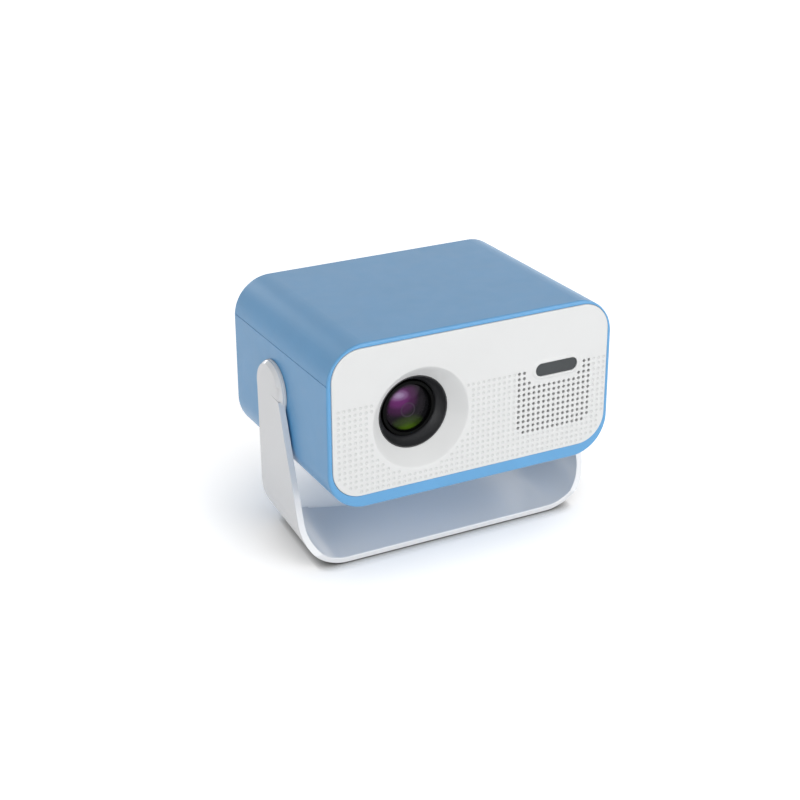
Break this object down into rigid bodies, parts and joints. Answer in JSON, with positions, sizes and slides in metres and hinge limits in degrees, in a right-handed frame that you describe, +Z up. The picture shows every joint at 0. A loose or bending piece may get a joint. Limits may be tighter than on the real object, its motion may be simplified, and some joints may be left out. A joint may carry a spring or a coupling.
{
  "type": "art projector",
  "caption": "Compact rounded-box projector with a recessed lens and a perforated speaker field, tilting in a low bent U-shaped tabletop stand.",
  "frame": {"origin": "centre of the tripod thread's mouth in the underside of the stand's base", "axes": "+Z up, +X to the right of someone who faces the lens, -Y towards the lens's side"},
  "size_m": [0.2004, 0.145, 0.155],
  "materials": {
    "stand_white": "satin white powder coat",
    "pad_rubber": "matte",
    "insert_brass": "plain",
    "hinge_steel": "plain",
    "spacer_white": "matte",
    "bush_natural": "matte",
    "shell_blue": "satin metallic blue paint",
    "panel_white": "fine matte white",
    "rear_white": "fine matte white",
    "window_smoke": "smoked, polished",
    "hood_black": "matte black",
    "barrel_black": "matte black",
    "lens_glass": "coated, polished",
    "engine_black": "matte black",
    "mirror_glass": "front silvered",
    "optic_clear": "clear",
    "panel_dark": "dark",
    "ribbon_amber": "flexible film",
    "board_green": "solder mask",
    "board_white": "white solder mask",
    "emitter_yellow": "phosphor",
    "sink_aluminium": "plain extruded",
    "pipe_copper": "copper",
    "fan_black": "matte black",
    "stator_copper": "windings on a steel core",
    "chip_black": "moulded",
    "port_metal": "nickel plated",
    "jack_black": "matte black",
    "cone_paper": "treated paper",
    "magnet_steel": "plated",
    "filter_foam": "open foam",
    "button_white": "satin",
    "screw_steel": "zinc plated"
  },
  "bodies": {
    "stand": {"stand_bracket": "stand_white", "base_pads": "pad_rubber", "tripod_insert": "insert_brass", "hinge_spacers": "spacer_white", "hinge_shafts": "hinge_steel", "hinge_springs": "hinge_steel", "hinge_nuts": "hinge_steel"},
    "fan": {"fan_rotor": "fan_black"},
    "focus_drive": {"focus_screw": "hinge_steel"},
    "lens_group": {"lens_barrel": "barrel_black", "front_lens": "lens_glass", "middle_lens": "lens_glass", "rear_lens": "lens_glass"},
    "button": {"power_button": "button_white"},
    "head": {"hinge_bushes": "bush_natural", "lower_shell": "shell_blue", "upper_shell": "shell_blue", "shell_screws": "screw_steel", "front_panel": "panel_white", "sensor_window": "window_smoke", "rear_panel": "rear_white", "lens_hood": "hood_black", "lens_tube": "barrel_black", "focus_bracket": "hinge_steel", "focus_motor": "hinge_steel", "engine_housing": "engine_black", "engine_cover": "engine_black", "mirror": "mirror_glass", "fresnel_front": "optic_clear", "lcd_panel": "panel_dark", "polarizer_glass": "panel_dark", "fresnel_rear": "optic_clear", "condenser_lens": "optic_clear", "lcd_ribbon": "ribbon_amber", "led_board": "board_white", "led_emitter": "emitter_yellow", "heat_sink": "sink_aluminium", "heat_pipes": "pipe_copper", "fan_frame": "fan_black", "fan_stator": "stator_copper", "main_board": "board_green", "board_chips": "chip_black", "hdmi_port": "port_metal", "usb_port": "port_metal", "audio_jack": "jack_black", "power_inlet": "jack_black", "power_board": "board_green", "power_parts": "chip_black", "key_board": "board_green", "speaker_frame": "engine_black", "speaker_cone": "cone_paper", "speaker_magnet": "magnet_steel", "sensor_board": "board_green", "intake_filter": "filter_foam"}
  },
  "joints": [
    {"name": "head_tilt", "type": "hinge", "parent": "stand", "child": "head", "pos_m": [0, 0.036, 0.096], "axis": [-1, 0, 0], "range_deg": [-47, 83]},
    {"name": "fan_spin", "type": "hinge", "parent": "head", "child": "fan", "pos_m": [0.06, 0.08526, 0.08693], "axis": [0, 0.9925, -0.1219], "continuous": true},
    {"name": "lens_focus", "type": "slide", "parent": "head", "child": "lens_group", "axis": [0, -0.9925, 0.1219], "range_m": [-0.0025, 0.0025]},
    {"name": "focus_screw_turn", "type": "hinge", "parent": "head", "child": "focus_drive", "pos_m": [-0.063, 0.00189, 0.09717], "axis": [0, -0.9925, 0.1219], "range_deg": [-900, 900]},
    {"name": "power_press", "type": "slide", "parent": "head", "child": "button", "axis": [0, -0.9925, 0.1219], "range_m": [0, 0.0008], "stiffness_N_per_m": 1500, "springref_m": -0.0004}
  ],
  "couplings": [
    {"joint": "focus_screw_turn", "follows": "lens_focus", "rad_per_m": -6283.2}
  ]
}
